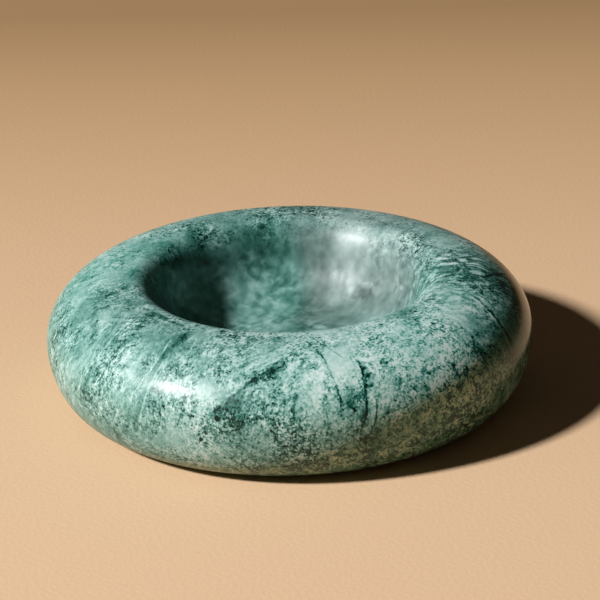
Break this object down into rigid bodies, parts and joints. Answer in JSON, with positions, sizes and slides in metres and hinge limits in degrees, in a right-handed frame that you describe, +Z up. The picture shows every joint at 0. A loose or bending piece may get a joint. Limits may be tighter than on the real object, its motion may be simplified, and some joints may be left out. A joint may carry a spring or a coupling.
{
  "type": "trinket dish",
  "caption": "Low round dish turned from polished green marble, with a thick rolled ring and a bowl for small things, standing on felt pads.",
  "frame": {"origin": "on the surface the dish stands on, under its middle", "axes": "+Z up along the axis the dish was turned about; the four pads lie on the diagonals of X and Y"},
  "size_m": [0.12, 0.12, 0.031],
  "materials": {
    "green_marble": "polished",
    "pad_felt": "pressed felt",
    "pad_adhesive": "satin film"
  },
  "bodies": {
    "root": {"marble_dish": "green_marble", "felt_pad_1": "pad_felt", "felt_pad_2": "pad_felt", "felt_pad_3": "pad_felt", "felt_pad_4": "pad_felt", "pad_adhesive_1": "pad_adhesive", "pad_adhesive_2": "pad_adhesive", "pad_adhesive_3": "pad_adhesive", "pad_adhesive_4": "pad_adhesive"}
  },
  "joints": []
}
